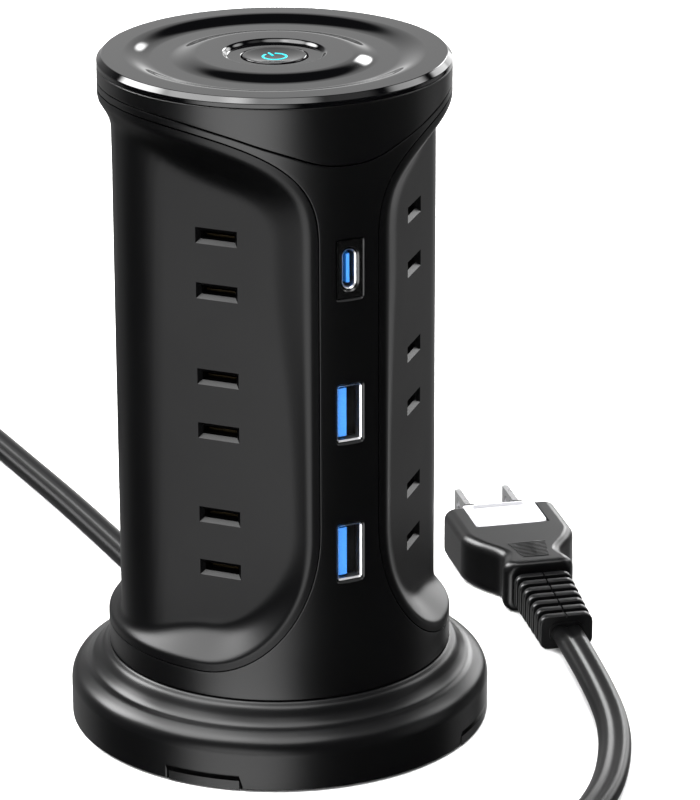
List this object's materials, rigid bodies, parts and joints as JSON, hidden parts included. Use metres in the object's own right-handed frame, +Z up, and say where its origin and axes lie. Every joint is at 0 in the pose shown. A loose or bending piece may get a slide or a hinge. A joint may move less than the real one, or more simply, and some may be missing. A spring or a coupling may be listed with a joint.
{
  "type": "tower power strip",
  "caption": "Cylindrical tower power strip with flat outlet faces, a column of USB ports, a push switch on top, a flat mains cord and a plug with swinging blades.",
  "frame": {"origin": "middle of the round base, on the surface it stands on", "axes": "+Z up along the tower; -Y towards the column with the USB ports; the cord leaves the base towards +Y"},
  "size_m": [0.2004, 0.3802, 0.1584],
  "materials": {
    "base_plastic": "satin",
    "tower_plastic": "satin",
    "panel_plastic": "satin",
    "cap_plastic": "polished",
    "button_plastic": "polished",
    "light_guide": "lit",
    "switch_plastic": "moulded",
    "led_lens": "clear",
    "circuit_board": "solder mask",
    "inner_plastic": "moulded",
    "transformer_tape": "tape",
    "capacitor_sleeve": "sleeve",
    "relay_case": "moulded",
    "screw_steel": "zinc plated",
    "port_steel": "nickel plated",
    "tongue_blue": "moulded",
    "bezel_plastic": "moulded",
    "foot_rubber": "matte",
    "cord_jacket": "satin",
    "contact_brass": "stamped",
    "wire_black": "insulated",
    "wire_white": "insulated",
    "plug_plastic": "satin",
    "carrier_plastic": "moulded",
    "contact_plastic": "moulded",
    "blade_metal": "nickel plated",
    "sleeve_plastic": "moulded"
  },
  "bodies": {
    "tower": {"base_shell": "base_plastic", "bottom_plate": "base_plastic", "rubber_feet": "foot_rubber", "frame_shell": "tower_plastic", "left_panel": "panel_plastic", "right_panel": "panel_plastic", "crown": "tower_plastic", "top_cap": "cap_plastic", "power_switch": "switch_plastic", "status_led": "led_lens", "top_board": "circuit_board", "usb_board": "circuit_board", "power_board": "circuit_board", "core_frame": "inner_plastic", "transformer": "transformer_tape", "filter_capacitor": "capacitor_sleeve", "power_relay": "relay_case", "carrier_screws": "screw_steel", "base_screws": "screw_steel", "top_board_screws": "screw_steel", "clamp_screws": "screw_steel", "usb_a_shell_upper": "port_steel", "usb_a_shell_lower": "port_steel", "usb_a_tongue_upper": "tongue_blue", "usb_a_tongue_lower": "tongue_blue", "usb_c_bezel": "bezel_plastic", "usb_c_shell": "port_steel", "usb_c_tongue": "tongue_blue", "cord_relief": "cord_jacket", "cord_lead_in": "cord_jacket", "cord_clamp": "inner_plastic", "supply_lead_line": "wire_black", "supply_lead_neutral": "wire_white", "plug_body": "plug_plastic", "swing_pin": "screw_steel", "plug_relief": "cord_jacket", "cord_to_coil": "cord_jacket", "cord_to_plug": "cord_jacket", "cord_coil": "cord_jacket", "contact_carrier_front_left": "contact_plastic", "bus_bar_line_front_left": "contact_brass", "bus_bar_neutral_front_left": "contact_brass", "contact_carrier_back_left": "contact_plastic", "bus_bar_line_back_left": "contact_brass", "bus_bar_neutral_back_left": "contact_brass", "contact_carrier_front_right": "contact_plastic", "bus_bar_line_front_right": "contact_brass", "bus_bar_neutral_front_right": "contact_brass", "contact_carrier_back_right": "contact_plastic", "bus_bar_line_back_right": "contact_brass", "bus_bar_neutral_back_right": "contact_brass"},
    "power_button": {"power_button": "button_plastic", "button_light": "light_guide", "switch_plunger": "switch_plastic"},
    "plug_blades": {"swing_carrier": "carrier_plastic", "blade_left": "blade_metal", "blade_right": "blade_metal", "blade_sleeves": "sleeve_plastic"}
  },
  "joints": [
    {"name": "button_press", "type": "slide", "parent": "tower", "child": "power_button", "axis": [0, 0, -1], "range_m": [0, 0.0012], "stiffness_N_per_m": 500, "springref_m": -0.0005},
    {"name": "blade_swing", "type": "hinge", "parent": "tower", "child": "plug_blades", "pos_m": [0.08781, 0.05556, 0.0078], "axis": [0.9781, -0.2079, 0], "range_deg": [0, 90]}
  ]
}
